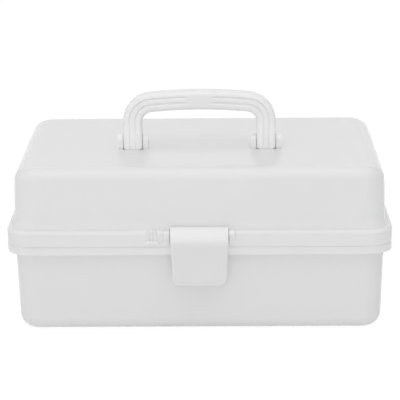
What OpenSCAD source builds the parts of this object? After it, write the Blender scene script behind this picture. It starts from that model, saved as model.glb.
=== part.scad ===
// Folding art supply box: a moulded base, a rear-hinged lid, and two trays
// that rise and step back on link arms when the lid opens. Millimetres, +Z up,
// the front is -Y. The origin is the middle of the underside.

/* [Rim] */
// Width of the box across the rim
rim_w = 330; // [300:1:360]
// Depth of the box across the rim
rim_d = 200; // [196:1:230]
// Corner radius of the rim in plan
rim_corner_r = 20; // [18:1:26]
// Thickness of the moulded walls
wall = 2; // [1.6:0.1:2.4]

/* [Base] */
// Height of the parting line between base and lid
parting_z = 78.3; // [76:0.1:90]
// How far the base wall lies inside the rim at the top
base_inset_top = 6.4; // [6:0.1:7]
// How far the base wall lies inside the rim at the floor
base_inset_foot = 8.2; // [7:0.1:9]
// Corner radius of the base wall in plan
base_corner_r = 17.5; // [15:0.5:20]
// Radius of the edge round the underside
base_edge_r = 12; // [8:0.5:14]
// Height of the rolled flange below the parting line
flange_h = 6.1; // [5:0.1:9]
// How far the flange lies inside the lid's rim
flange_inset = 0.3; // [0.1:0.1:0.8]
// Height of the lip that stands inside the lid
lip_h = 3; // [2:0.1:5]

/* [Lid] */
// Height of the lid above the parting line
lid_h = 67.2; // [64:0.1:80]
// Height of the lid's rim above the parting line
lid_rim_h = 13.7; // [12:0.1:16]
// How far the lid wall lies inside the rim, low down
lid_inset_low = 6.4; // [6:0.1:7]
// How far the lid wall lies inside the rim, high up
lid_inset_high = 7; // [6.4:0.1:9]
// Corner radius of the lid wall in plan
lid_corner_r = 20; // [18:0.5:24]
// Radius of the edge round the top
lid_edge_r = 15.5; // [8:0.5:17]
// Width of the hollow curve above the rim
cove_w = 4; // [3:0.1:5]
// Height of the hollow curve above the rim
cove_h = 11; // [8:0.5:14]
// Radius of the rim's upper edge
rim_edge_r = 2.4; // [1.5:0.1:3]
// Gap between lid and base when shut
lid_gap = 0.3; // [0.2:0.1:0.5]

/* [Hinge] */
// Distance from the rim back to the hinge axis
hinge_back = 3.8; // [3.6:0.1:5]
// Radius of the hinge knuckles
knuckle_r = 3.2; // [2.6:0.1:3.3]
// Radius of the hinge pins
hinge_pin_r = 1.25; // [1:0.05:1.5]
// Distance of each hinge from the end of the box
hinge_end = 70; // [50:1:100]
// Width of the middle knuckle
mid_knuckle_w = 20; // [12:1:30]
// Width of each outer knuckle
side_knuckle_w = 13; // [8:1:20]
// Side gap between knuckles
knuckle_gap = 0.4; // [0.3:0.1:0.8]

/* [Trays] */
// Depth of each tray from front to back
tray_d = 120; // [110:1:121]
// Height of each tray
tray_h = 30; // [28:1:31]
// Thickness of the tray walls
tray_wall = 1.6; // [1.2:0.1:2.2]
// Thickness of the tray's partitions
rib = 1.4; // [1:0.1:2]
// Corner radius of the trays
tray_corner_r = 8; // [5:0.5:10]
// Gap between the front of the lower tray and the base
tray_front_gap = 4; // [3:0.5:7]
// Gap between a tray's ends and the base wall
tray_end_gap = 7.9; // [7.4:0.1:12]
// Height of the upper tray's floor above the parting line
tray_rise = 1.7; // [1:0.1:3]
// Gap between the two trays when shut
stack_gap = 2; // [1:0.1:4]
// Depth of the front row of compartments in the upper tray
upper_front_row = 46; // [35:1:70]
// Compartments across the upper tray
upper_cells = 4; // [2:1:5]
// Depth of the front row of compartments in the lower tray
lower_front_row = 62; // [40:1:75]
// Compartments across the lower tray
lower_cells = 3; // [2:1:5]

/* [Link arms] */
// Thickness of the arms
arm_t = 3; // [2.4:0.1:3.4]
// Width of the arms between their eyes
arm_w = 6.6; // [5:0.1:7.2]
// Radius of the eyes round the arms' pins
eye_r = 3.9; // [3.7:0.1:4.1]
// Side gap between an arm and its neighbours
arm_gap = 0.5; // [0.4:0.1:0.8]
// Radius of the pivot pins
pivot_r = 1.8; // [1.5:0.05:2.1]
// Radius of a pin's head
pivot_head_r = 3; // [2.6:0.1:3.2]
// Thickness of a pin's head
pivot_head_t = 1.2; // [0.8:0.1:1.4]
// Radius of the bosses round the pins
boss_r = 3.9; // [3.6:0.1:4]
// Running clearance round a pin
run_fit = 0.08; // [0.05:0.01:0.1]
// Length of the bosses inside the trays
boss_len = 3; // [2:0.1:5]
// Distance of the lid's pivot from the back of the upper tray
lid_pivot_back = 28.5; // [26:0.5:31]
// Height of the lid's pivot above the upper tray's floor
lid_pivot_rise = 22.5; // [21:0.5:24]
// Distance of the front arm's end from the front of the tray
front_pivot_in = 13; // [11:0.5:18]
// Height of the front arm's end above the upper tray's floor
front_pivot_rise = 6; // [5.5:0.1:6.2]
// Distance between the two arms' pivots on the base
arm_spacing = 42; // [40:0.5:44]
// How deep the base pins sit in their bosses
pin_seat = 4.5; // [3:0.1:4.8]

/* [Latch] */
// Width of the latch at its barrel
latch_w = 49.6; // [40:0.2:60]
// Width of the latch at its lower edge
latch_tip_w = 45.4; // [34:0.2:56]
// Radius of the latch's barrel
latch_barrel_r = 6.3; // [5:0.1:7]
// Height of the latch pin above the parting line
latch_pin_rise = 13.2; // [12.5:0.1:15]
// Length of the latch from its pin to its lower edge
latch_drop = 45; // [30:0.5:55]
// Thickness of the latch's face
latch_t = 2.2; // [1.6:0.1:2.6]
// Corner radius of the latch's lower edge
latch_tip_r = 6; // [3:0.5:10]
// Radius of the latch pin
latch_pin_r = 1.25; // [1:0.05:1.5]
// Width of the ears that hold the latch pin
latch_ear_w = 5; // [4:0.1:7]
// Radius of those ears
latch_ear_r = 4.4; // [3:0.1:5]
// Side gap between latch and ears
latch_side_gap = 0.5; // [0.3:0.1:1]
// Gap between the latch's barrel and the lid wall
latch_back_gap = 0.8; // [0.5:0.1:1.2]
// Height of the catch bead on the latch
bead_h = 3; // [2:0.1:4]

/* [Rim tab] */
// Distance of the small ribbed tab from the middle
tab_x = 40.5; // [38:0.5:60]
// Width of the tab's ribbed post
tab_w = 7.6; // [5:0.1:10]
// Width of the ledge under the post
tab_ledge_w = 12; // [8:0.1:13]
// Height of the ledge above the lower edge of the lid
tab_ledge_rise = 4; // [2:0.1:5]
// Thickness of the ledge
tab_ledge_t = 2.7; // [1.5:0.1:3.5]
// How far the ledge stands out of the rim
tab_ledge_out = 1.4; // [0.5:0.1:2]
// How far the post's ribs stand out of the rim
tab_rib_out = 0.8; // [0.3:0.1:1.2]
// Depth of the post behind the front of the rim
tab_depth = 3; // [2:0.1:5]
// Height of the post above the rim
tab_rise = 2; // [1:0.1:4]

/* [Handle] */
// Width over the handle's legs
handle_w = 134; // [110:1:160]
// Height of the handle above the lid
handle_rise = 52.1; // [40:0.1:65]
// Width of the grip and legs, seen from the front
grip_w = 17; // [14:0.5:19]
// Depth of the grip and legs, from front to back
grip_d = 14; // [12:0.5:18]
// Outer corner radius of the handle
handle_corner_r = 26; // [20:0.5:30]
// Inner corner radius of the handle
handle_inner_r = 10; // [6:0.5:16]
// Radius of the slight crown along the grip
crown_r = 440; // [300:10:900]
// Distance of the handle in front of the middle
handle_y = 22; // [0:1:30]
// Height of the handle's pivot above the lid
handle_pivot_rise = 7.6; // [7.5:0.1:10]
// Radius of the handle pins
handle_pin_r = 2; // [1.5:0.1:3]
// Width of the lugs beside each foot
lug_w = 5; // [4:0.1:7]
// Radius of the lugs round the pin
lug_r = 4.6; // [4:0.1:6]
// Side gap between a foot and its lugs
lug_gap = 0.4; // [0.3:0.1:1]

/* [Hidden] */

round_fn = 48;
corner_steps = 8;
edge_steps = 4;
weld = 1;              // how far a lug or boss sinks into the wall that carries it
counterbore_gap = 0.15; // play round a pin's head in its counterbore

half_w = rim_w / 2;
half_d = rim_d / 2;
flange_z = parting_z - flange_h;
skirt_z = parting_z + lid_gap;
rim_z = parting_z + lid_rim_h;
top_z = parting_z + lid_h;
shell_color = [0.90, 0.91, 0.91];

// ---- places that several pieces share: [y, z] pairs seen from the end ----

function base_inset(z) = base_inset_foot + (base_inset_top - base_inset_foot) * z / parting_z;

hinge = [half_d + hinge_back, parting_z];
hinge_x = half_w - hinge_end;
upper_z = parting_z + tray_rise;
lower_z = upper_z - stack_gap - tray_h;
tray_front = -half_d + base_inset(lower_z) + wall + tray_front_gap;
tray_back = tray_front + tray_d;

lid_pivot = [tray_back - lid_pivot_back, upper_z + lid_pivot_rise];
link = lid_pivot - hinge;
arm_share = 0.5;       // the lower tray travels half as far as the upper one
upper_front_pivot = [tray_front + front_pivot_in, upper_z + front_pivot_rise];
front_base_pivot = upper_front_pivot - link;
rear_base_pivot = front_base_pivot + [arm_spacing, 0];
lower_front_pivot = front_base_pivot + arm_share * link;
lower_rear_pivot = rear_base_pivot + arm_share * link;

base_inner_x = half_w - base_inset(front_base_pivot[1]) - wall;
lid_inner_x = half_w - lid_inset_low - wall;
tray_x = base_inner_x - tray_end_gap;
arm_x = tray_x + arm_gap;
arm_out_x = arm_x + arm_t;
base_boss_x = arm_out_x + arm_gap;

latch_pin_at = [-half_d + lid_inset_low - latch_back_gap - latch_barrel_r, parting_z + latch_pin_rise];
latch_front = latch_pin_at[0] - latch_barrel_r;
housing_x = latch_w / 2 + latch_side_gap + latch_ear_w;

handle_pivot = [-handle_y, top_z + handle_pivot_rise];
foot_x = handle_w / 2 - grip_w / 2;
handle_top = top_z + handle_rise;

// ---- shells: rings of a rounded rectangle, joined into one skin ----

// One ring: how far it lies inside the rim, its height and its corner radius
function ring(inset, z, r) = [
    for (q = [0:3], i = [0:corner_steps])
        let (a = 90 * q + 90 * i / corner_steps,
             cx = (q == 0 || q == 3 ? 1 : -1) * (half_w - inset - r),
             cy = (q < 2 ? 1 : -1) * (half_d - inset - r))
        [cx + r * cos(a), cy + r * sin(a), z]];

// A closed skin through a list of [inset, z, corner radius], from a face
// that looks down to a face that looks up
module skin(profile) {
    n = 4 * (corner_steps + 1);
    rows = len(profile);
    points = [for (p = profile) each ring(p[0], p[1], p[2])];
    sides = [for (k = [0:rows - 2], i = [0:n - 1])
        let (a = k * n + i, b = k * n + (i + 1) % n)
        each [[a, a + n, b + n], [a, b + n, b]]];
    first = [for (i = [0:n - 1]) i];
    last = [for (i = [n - 1:-1:0]) (rows - 1) * n + i];
    polyhedron(points = points, faces = concat(sides, [first, last]), convexity = 8);
}

// Quarter round between a wall and a floor: turn 0 is the floor's edge
function edge_round(inset, r, corner, z0, dir, turns) = [
    for (t = turns)
        [inset + r * (1 - sin(t)), z0 + dir * r * (1 - cos(t)), corner - r * (1 - sin(t))]];
up_turns = [for (i = [0:edge_steps]) 90 * i / edge_steps];
down_turns = [for (i = [edge_steps:-1:0]) 90 * i / edge_steps];

flange_edge_r = 0.8;
base_profile = concat(
    edge_round(base_inset(base_edge_r), base_edge_r, base_corner_r, 0, 1, up_turns),
    [[base_inset_top, parting_z - wall, base_corner_r],
     [flange_inset + wall, parting_z - wall, rim_corner_r - flange_inset - wall],
     [flange_inset + wall, flange_z, rim_corner_r - flange_inset - wall],
     [flange_inset + flange_edge_r, flange_z, rim_corner_r - flange_inset - flange_edge_r],
     [flange_inset, flange_z + flange_edge_r, rim_corner_r - flange_inset],
     [flange_inset, parting_z - flange_edge_r, rim_corner_r - flange_inset],
     [flange_inset + flange_edge_r, parting_z, rim_corner_r - flange_inset - flange_edge_r],
     [base_inset_top, parting_z, base_corner_r],
     [base_inset_top, parting_z + lip_h, base_corner_r],
     [base_inset_top + wall, parting_z + lip_h, base_corner_r - wall]],
    edge_round(base_inset(base_edge_r) + wall, base_edge_r - wall, base_corner_r - wall,
        wall, 1, down_turns));

// The hollow curve above the rim, a quarter of an ellipse from the wall's
// corner radius to the rim's
function cove(inset, w, h, corner, turns) = [
    for (t = turns) [inset - w + w * cos(t), rim_z + cove_h - h * sin(t),
        corner + (rim_corner_r - inset + w - corner) * sin(t)]];
function rim_round(turns) = [
    for (t = turns) [rim_edge_r * (1 - sin(t)), rim_z - rim_edge_r * (1 - cos(t)),
        rim_corner_r - rim_edge_r * (1 - sin(t))]];
lid_profile = concat(
    edge_round(lid_inset_high + wall, lid_edge_r - wall, lid_corner_r - wall, top_z - wall, -1, up_turns),
    cove(lid_inset_low + wall, lid_inset_low, cove_h + rim_edge_r, lid_corner_r - wall, up_turns),
    [[wall, skirt_z, rim_corner_r - wall],
     [0, skirt_z, rim_corner_r]],
    rim_round(down_turns),
    cove(lid_inset_low, cove_w, cove_h, lid_corner_r, down_turns),
    edge_round(lid_inset_high, lid_edge_r, lid_corner_r, top_z, -1, down_turns));

// ---- small shared shapes ----

// A rod along X from x0 to x1 at a [y, z] place
module rod(at, x0, x1, r) {
    translate([x0, at[0], at[1]]) rotate([0, 90, 0]) cylinder(h = x1 - x0, r = r, $fn = round_fn);
}

// A plate between two corners
module block(lo, hi) {
    translate(lo) cube(hi - lo);
}

module both_sides() {
    children();
    mirror([1, 0, 0]) children();
}

module left_side() {
    mirror([1, 0, 0]) children();
}

// A box with upright rounded corners
module rounded_block(lo, hi, r) {
    block([lo[0] + r, lo[1], lo[2]], [hi[0] - r, hi[1], hi[2]]);
    block([lo[0], lo[1] + r, lo[2]], [hi[0], hi[1] - r, hi[2]]);
    for (x = [lo[0] + r, hi[0] - r], y = [lo[1] + r, hi[1] - r])
        translate([x, y, lo[2]]) cylinder(h = hi[2] - lo[2], r = r, $fn = round_fn);
}

// ---- base ----

module knuckle(x0, x1, web_lo, web_hi) {
    rod(hinge, x0, x1, knuckle_r);
    block([x0, half_d - weld, web_lo], [x1, hinge[0], web_hi]);
}

side_knuckle_x = mid_knuckle_w / 2 + knuckle_gap;
module base_shell() color(shell_color) {
    difference() {
        union() {
            skin(base_profile);
            for (x = [-hinge_x, hinge_x], s = [-1, 1])
                knuckle(x + (s < 0 ? -side_knuckle_x - side_knuckle_w : side_knuckle_x),
                    x + (s < 0 ? -side_knuckle_x : side_knuckle_x + side_knuckle_w),
                    parting_z - knuckle_r, parting_z - lid_gap);
            both_sides() for (at = [front_base_pivot, rear_base_pivot])
                rod(at, base_boss_x, base_inner_x + weld, boss_r);
        }
        for (x = [-hinge_x, hinge_x])
            rod(hinge, x - rim_w / 8, x + rim_w / 8, hinge_pin_r);
        both_sides() for (at = [front_base_pivot, rear_base_pivot])
            rod(at, arm_x, base_boss_x + pin_seat, pivot_r);
    }
}

// ---- lid ----

// The thick part of the rim that holds the latch pin
module latch_housing() {
    block([-housing_x, -half_d, skirt_z], [housing_x, -half_d + lid_inset_low + wall, rim_z]);
    rod(latch_pin_at, -housing_x, housing_x, latch_ear_r);
    block([-housing_x, latch_pin_at[0], latch_pin_at[1] - latch_ear_r],
        [housing_x, -half_d + lid_inset_low + weld, latch_pin_at[1] + latch_ear_r]);
}

module latch_cutout() {
    x = latch_w / 2 + latch_side_gap;
    rod(latch_pin_at, -x, x, latch_barrel_r + latch_back_gap);
    block([-x, latch_front - weld, latch_pin_at[1] - latch_barrel_r - latch_back_gap],
        [x, latch_pin_at[0], latch_pin_at[1] + latch_barrel_r + cove_h]);
    block([-x, latch_front - weld, latch_pin_at[1]],
        [x, latch_pin_at[0] + latch_barrel_r + latch_back_gap, latch_pin_at[1] + latch_barrel_r + cove_h]);
}

module rim_tab() {
    ribs = 3;
    rib_w = tab_w / (2 * ribs - 1);
    post_x = -tab_x - tab_w / 2;
    ledge_z = skirt_z + tab_ledge_rise;
    post_z = ledge_z + tab_ledge_t;
    post_top = rim_z + tab_rise;
    block([-tab_x - tab_ledge_w / 2, -half_d - tab_ledge_out, ledge_z],
        [-tab_x + tab_ledge_w / 2, -half_d + weld, post_z]);
    block([post_x, -half_d + tab_rib_out / 2, post_z], [post_x + tab_w, -half_d + tab_depth, post_top]);
    for (i = [0:ribs - 1])
        block([post_x + 2 * i * rib_w, -half_d - tab_rib_out, post_z],
            [post_x + (2 * i + 1) * rib_w, -half_d + weld, post_top]);
}

module handle_lugs() {
    for (x = [-foot_x, foot_x], s = [-1, 1]) {
        inner = grip_w / 2 + lug_gap;
        x0 = s < 0 ? x - inner - lug_w : x + inner;
        rod(handle_pivot, x0, x0 + lug_w, lug_r);
        block([x0, handle_pivot[0] - lug_r, top_z - weld], [x0 + lug_w, handle_pivot[0] + lug_r, handle_pivot[1]]);
    }
}

module lid_shell() color(shell_color) {
    difference() {
        union() {
            skin(lid_profile);
            for (x = [-hinge_x, hinge_x])
                knuckle(x - mid_knuckle_w / 2, x + mid_knuckle_w / 2, skirt_z, parting_z + knuckle_r);
            both_sides() rod(lid_pivot, arm_x, lid_inner_x + weld, boss_r);
            latch_housing();
            rim_tab();
            handle_lugs();
        }
        latch_cutout();
        // room for the base's lip under the latch housing
        block([-housing_x, -half_d + base_inset_top - wall / 2, skirt_z - weld],
            [housing_x, -half_d + lid_inset_low + 2 * wall, parting_z + lip_h + 2 * lid_gap]);
        for (x = [-hinge_x, hinge_x])
            rod(hinge, x - rim_w / 8, x + rim_w / 8, hinge_pin_r + run_fit);
        rod(latch_pin_at, -housing_x - weld, housing_x + weld, latch_pin_r);
        both_sides() rod(lid_pivot, arm_x - weld, arm_x + pin_seat, pivot_r + run_fit);
        for (x = [-foot_x, foot_x])
            rod(handle_pivot, x - rim_w / 8, x + rim_w / 8, handle_pin_r);
    }
}

// ---- trays ----

// A tray with two rows of compartments, and bosses at its pivots
module tray(z, cells, front_row, pivots) {
    difference() {
        union() {
            difference() {
                rounded_block([-tray_x, tray_front, z], [tray_x, tray_back, z + tray_h], tray_corner_r);
                tray_row(z, cells, tray_front + tray_wall, tray_front + tray_wall + front_row);
                tray_row(z, cells, tray_front + tray_wall + front_row + rib, tray_back - tray_wall);
            }
            both_sides() for (at = pivots)
                rod(at, tray_x - tray_wall - boss_len, tray_x - tray_wall / 2, boss_r);
        }
        both_sides() for (at = pivots)
            rod(at, tray_x - tray_wall - boss_len - weld, tray_x + weld, pivot_r);
    }
}

module tray_row(z, cells, y0, y1) {
    r = tray_corner_r - tray_wall;
    inner = 2 * (tray_x - tray_wall);
    cell_w = (inner - (cells - 1) * rib) / cells;
    for (i = [0:cells - 1]) {
        x0 = -inner / 2 + i * (cell_w + rib);
        rounded_block([x0, y0, z + tray_wall], [x0 + cell_w, y1, z + tray_h + weld], r);
    }
}

module upper_tray() color(shell_color) tray(upper_z, upper_cells, upper_front_row, [upper_front_pivot, lid_pivot]);
module lower_tray() color(shell_color) tray(lower_z, lower_cells, lower_front_row, [lower_front_pivot, lower_rear_pivot]);

// ---- link arms, drawn for the right side ----

// A flat bar from one [y, z] place to another, with round eyes at its pins
module arm_bar(from, to, eyes) {
    reach = to - from;
    for (at = eyes)
        rod(at, arm_x, arm_out_x, eye_r);
    translate([arm_x, from[0], from[1]]) rotate([atan2(reach[1], reach[0]), 0, 0])
        translate([0, 0, -arm_w / 2]) cube([arm_t, norm(reach), arm_w]);
}

module inner_counterbore(at) {
    rod(at, arm_x - weld, arm_x + pivot_head_t + counterbore_gap, pivot_head_r + counterbore_gap);
}

module outer_counterbore(at) {
    rod(at, arm_out_x - pivot_head_t - counterbore_gap, arm_out_x + weld, pivot_head_r + counterbore_gap);
}

module front_arm() {
    eyes = [front_base_pivot, lower_front_pivot, upper_front_pivot];
    difference() {
        arm_bar(front_base_pivot, upper_front_pivot, eyes);
        for (at = eyes)
            rod(at, arm_x - weld, arm_out_x + weld, pivot_r + run_fit);
        inner_counterbore(front_base_pivot);
        outer_counterbore(lower_front_pivot);
        outer_counterbore(upper_front_pivot);
    }
}

module rear_arm() {
    eyes = [rear_base_pivot, lower_rear_pivot];
    difference() {
        arm_bar(rear_base_pivot, lower_rear_pivot, eyes);
        for (at = eyes)
            rod(at, arm_x - weld, arm_out_x + weld, pivot_r + run_fit);
        inner_counterbore(rear_base_pivot);
        outer_counterbore(lower_rear_pivot);
    }
}

arm_color = [0.86, 0.87, 0.88];
module front_arm_right() color(arm_color) front_arm();
module front_arm_left() color(arm_color) left_side() front_arm();
module rear_arm_right() color(arm_color) rear_arm();
module rear_arm_left() color(arm_color) left_side() rear_arm();

// ---- pivot pins, drawn for the right side ----

// Pressed into the base, with its head sunk in the arm's inner face
module base_pin(at) {
    rod(at, arm_x, arm_x + pivot_head_t, pivot_head_r);
    rod(at, arm_x, base_boss_x + pin_seat, pivot_r);
}

// Pressed into a tray, with its head sunk in the arm's outer face
module tray_pin(at) {
    rod(at, arm_out_x - pivot_head_t, arm_out_x, pivot_head_r);
    rod(at, tray_x - tray_wall - boss_len, arm_out_x, pivot_r);
}

// Pressed into the upper tray from inside, and turning in the lid's boss
module lid_pin(at) {
    head_x = tray_x - tray_wall - boss_len;
    rod(at, head_x - pivot_head_t, head_x, pivot_head_r);
    rod(at, head_x - pivot_head_t, arm_x + pin_seat - run_fit, pivot_r);
}

pin_color = [0.80, 0.81, 0.82];
module front_base_pin_right() color(pin_color) base_pin(front_base_pivot);
module front_base_pin_left() color(pin_color) left_side() base_pin(front_base_pivot);
module rear_base_pin_right() color(pin_color) base_pin(rear_base_pivot);
module rear_base_pin_left() color(pin_color) left_side() base_pin(rear_base_pivot);
module lower_front_pin_right() color(pin_color) tray_pin(lower_front_pivot);
module lower_front_pin_left() color(pin_color) left_side() tray_pin(lower_front_pivot);
module lower_rear_pin_right() color(pin_color) tray_pin(lower_rear_pivot);
module lower_rear_pin_left() color(pin_color) left_side() tray_pin(lower_rear_pivot);
module upper_front_pin_right() color(pin_color) tray_pin(upper_front_pivot);
module upper_front_pin_left() color(pin_color) left_side() tray_pin(upper_front_pivot);
module lid_pivot_pin_right() color(pin_color) lid_pin(lid_pivot);
module lid_pivot_pin_left() color(pin_color) left_side() lid_pin(lid_pivot);

// ---- hinge pins ----

steel_color = [0.72, 0.73, 0.75];
hinge_pin_half = side_knuckle_x + side_knuckle_w;
module hinge_pin_right() color(steel_color)
    rod(hinge, hinge_x - hinge_pin_half, hinge_x + hinge_pin_half, hinge_pin_r);
module hinge_pin_left() color(steel_color)
    rod(hinge, -hinge_x - hinge_pin_half, -hinge_x + hinge_pin_half, hinge_pin_r);

// ---- latch ----

// The latch's outline from the front
module latch_outline() {
    top_x = latch_w / 2;
    tip_x = latch_tip_w / 2;
    r = latch_tip_r;
    polygon([[-top_x, 0], [-tip_x, -latch_drop + r], [-tip_x + r, -latch_drop],
        [tip_x - r, -latch_drop], [tip_x, -latch_drop + r], [top_x, 0]]);
    for (x = [-tip_x + r, tip_x - r])
        translate([x, -latch_drop + r]) circle(r = r, $fn = round_fn);
}

// The hollow behind its face, between its side flanges and open at the foot
module latch_hollow() {
    top_x = latch_w / 2 - latch_t;
    tip_x = latch_tip_w / 2 - latch_t;
    polygon([[-top_x, 0], [-tip_x, -latch_drop - weld], [tip_x, -latch_drop - weld], [top_x, 0]]);
}

// A slab in the latch's plane, from one depth to another
module latch_slab(y0, y1) {
    translate([0, y1, latch_pin_at[1]]) rotate([90, 0, 0])
        linear_extrude(height = y1 - y0) children();
}

latch_back = -half_d - latch_side_gap;    // the flanges stop just in front of the rim
module latch() color(shell_color) {
    bead_top = flange_z - lid_gap;
    difference() {
        union() {
            difference() {
                latch_slab(latch_front, latch_back) latch_outline();
                latch_slab(latch_front + latch_t, latch_back + weld) latch_hollow();
            }
            rod(latch_pin_at, -latch_w / 2, latch_w / 2, latch_barrel_r);
            // the bead that snaps under the base's flange
            block([-latch_tip_w / 2 + latch_t, latch_front + latch_t / 2, bead_top - bead_h],
                [latch_tip_w / 2 - latch_t, -half_d + flange_inset - lid_gap, bead_top]);
        }
        rod(latch_pin_at, -latch_w, latch_w, latch_pin_r + run_fit);
    }
}
module latch_pin() color(steel_color)
    rod(latch_pin_at, -housing_x, housing_x, latch_pin_r);

// ---- handle ----

// An arch from the pivot up, crowned along its top, with corner rounds
// that run into the crown
module arch(width, top, r) {
    crown_z = top - crown_r;
    cx = width / 2 - r;
    cz = crown_z + sqrt(pow(crown_r - r, 2) - pow(cx, 2));
    tip = crown_r / (crown_r - r);
    foot_z = handle_pivot[1];
    intersection() {
        union() {
            intersection() {
                translate([0, crown_z]) circle(r = crown_r, $fn = 4 * round_fn);
                polygon([[-cx, foot_z], [-cx, cz], [-cx * tip, crown_z + (cz - crown_z) * tip],
                    [-cx * tip, top], [cx * tip, top],
                    [cx * tip, crown_z + (cz - crown_z) * tip], [cx, cz], [cx, foot_z]]);
            }
            for (x = [-cx, cx])
                translate([x, cz]) circle(r = r, $fn = 2 * round_fn);
            translate([-width / 2, foot_z]) square([width, cz - foot_z]);
        }
        translate([-width / 2, foot_z]) square([width, top - foot_z]);
    }
}

module handle() color(shell_color) {
    difference() {
        union() {
            translate([0, handle_pivot[0] + grip_d / 2, 0]) rotate([90, 0, 0])
                linear_extrude(height = grip_d) difference() {
                    arch(handle_w, handle_top, handle_corner_r);
                    arch(handle_w - 2 * grip_w, handle_top - grip_w, handle_inner_r);
                }
            for (x = [-foot_x, foot_x])
                rod(handle_pivot, x - grip_w / 2, x + grip_w / 2, grip_d / 2);
        }
        for (x = [-foot_x, foot_x])
            rod(handle_pivot, x - grip_w, x + grip_w, handle_pin_r + run_fit);
    }
}
handle_pin_half = grip_w / 2 + lug_gap + lug_w;
module handle_pin_right() color(pin_color)
    rod(handle_pivot, foot_x - handle_pin_half, foot_x + handle_pin_half, handle_pin_r);
module handle_pin_left() color(pin_color)
    rod(handle_pivot, -foot_x - handle_pin_half, -foot_x + handle_pin_half, handle_pin_r);

base_shell();
lid_shell();
hinge_pin_left();
hinge_pin_right();
upper_tray();
lower_tray();
front_arm_left();
front_arm_right();
rear_arm_left();
rear_arm_right();
front_base_pin_left();
front_base_pin_right();
rear_base_pin_left();
rear_base_pin_right();
lower_front_pin_left();
lower_front_pin_right();
lower_rear_pin_left();
lower_rear_pin_right();
upper_front_pin_left();
upper_front_pin_right();
lid_pivot_pin_left();
lid_pivot_pin_right();
latch();
latch_pin();
handle();
handle_pin_left();
handle_pin_right();
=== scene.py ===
"""Looks of the folding art supply box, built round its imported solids."""

import math

import bmesh
import bpy
import numpy as np
from bpy.props import FloatProperty, FloatVectorProperty, IntProperty, PointerProperty
from bpy.types import Operator, Panel, PropertyGroup
from mathutils import Matrix, Vector


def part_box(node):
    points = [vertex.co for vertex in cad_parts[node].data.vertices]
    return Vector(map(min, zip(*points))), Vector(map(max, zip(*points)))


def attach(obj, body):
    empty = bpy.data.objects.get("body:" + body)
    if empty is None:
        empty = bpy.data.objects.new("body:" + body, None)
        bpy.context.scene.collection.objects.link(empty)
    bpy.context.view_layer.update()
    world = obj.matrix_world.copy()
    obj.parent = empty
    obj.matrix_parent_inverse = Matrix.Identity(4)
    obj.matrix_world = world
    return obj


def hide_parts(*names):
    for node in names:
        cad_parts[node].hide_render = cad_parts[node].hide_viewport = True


bl_info = {
    "name": "Folding art supply box",
    "version": (1, 0, 0),
    "blender": (4, 5, 0),
    "location": "3D View > Sidebar > Art box",
    "description": "Moulds, trays, latch, handle and studio of a frosted art supply box",
    "category": "Object",
}

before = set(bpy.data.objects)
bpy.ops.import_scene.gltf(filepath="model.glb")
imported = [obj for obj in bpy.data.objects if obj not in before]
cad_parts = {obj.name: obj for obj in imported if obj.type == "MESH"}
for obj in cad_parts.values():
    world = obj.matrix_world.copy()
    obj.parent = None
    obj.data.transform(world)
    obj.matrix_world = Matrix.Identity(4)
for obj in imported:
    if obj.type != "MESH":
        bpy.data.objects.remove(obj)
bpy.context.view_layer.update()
MM = 0.001
PAST = 1.0 * MM  # how far a part reaches past the wall that it joins or cuts
BORE_EDGE = 0.05 * MM  # rounding at the rims of a bore
MERGED = 2e-6  # points nearer to each other than this become one
SHARP = math.radians(36.0)  # edges that turn by more stay sharp
WHITE = (1.0, 1.0, 1.0, 1.0)


# ---------------------------------------------------------------- sizes

def number(name, value, description, **more):
    """A plain number."""
    return FloatProperty(name=name, description=description, default=value, **more)


def length(name, millimetres, description):
    """A length: its default is written in millimetres and kept in metres."""
    return number(name, millimetres * MM, description, unit="LENGTH", precision=5)


def angle(name, degrees, description):
    """An angle: its default is written in degrees and kept in radians."""
    return number(name, math.radians(degrees), description, subtype="ANGLE")


def whole(name, value, description, low=1):
    """A count."""
    return IntProperty(name=name, description=description, default=value, min=low)


def colour(name, value, description):
    """A colour."""
    return FloatVectorProperty(name=name, description=description, default=value, subtype="COLOR",
                               size=3, min=0.0, max=1.0)


def span(node, axis):
    """The size of a part of the frame along one axis, in millimetres."""
    low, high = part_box(node)
    return (high[axis] - low[axis]) / MM


class ShellSizes(PropertyGroup):
    """Sizes that the base and the lid share."""
    rim_w: length("Rim width", span("lid_shell", 0), "Width of the box across the rim")
    rim_d: length("Rim depth", 200, "Depth of the box across the rim")
    rim_corner: length("Rim corner", 20, "Corner radius of the rim in plan")
    wall: length("Wall", 2, "Thickness of the moulded walls")
    parting_z: length("Parting height", 78.9, "Height of the parting line")
    hinge_end: length("Hinge from end", 70, "Distance of each hinge from the end of the box")
    knuckle_r: length("Knuckle radius", 3.2, "Radius of the hinge knuckles")
    hinge_pin_r: length("Hinge pin radius", 1.25, "Radius of the hinge pins")
    mid_knuckle_w: length("Middle knuckle", 20, "Width of the lid's knuckle")
    side_knuckle_w: length("Outer knuckle", 13, "Width of each of the base's knuckles")
    knuckle_gap: length("Knuckle gap", 0.4, "Side gap between knuckles")
    corner_steps: whole("Corner steps", 18, "Faces round each corner", 6)


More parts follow.
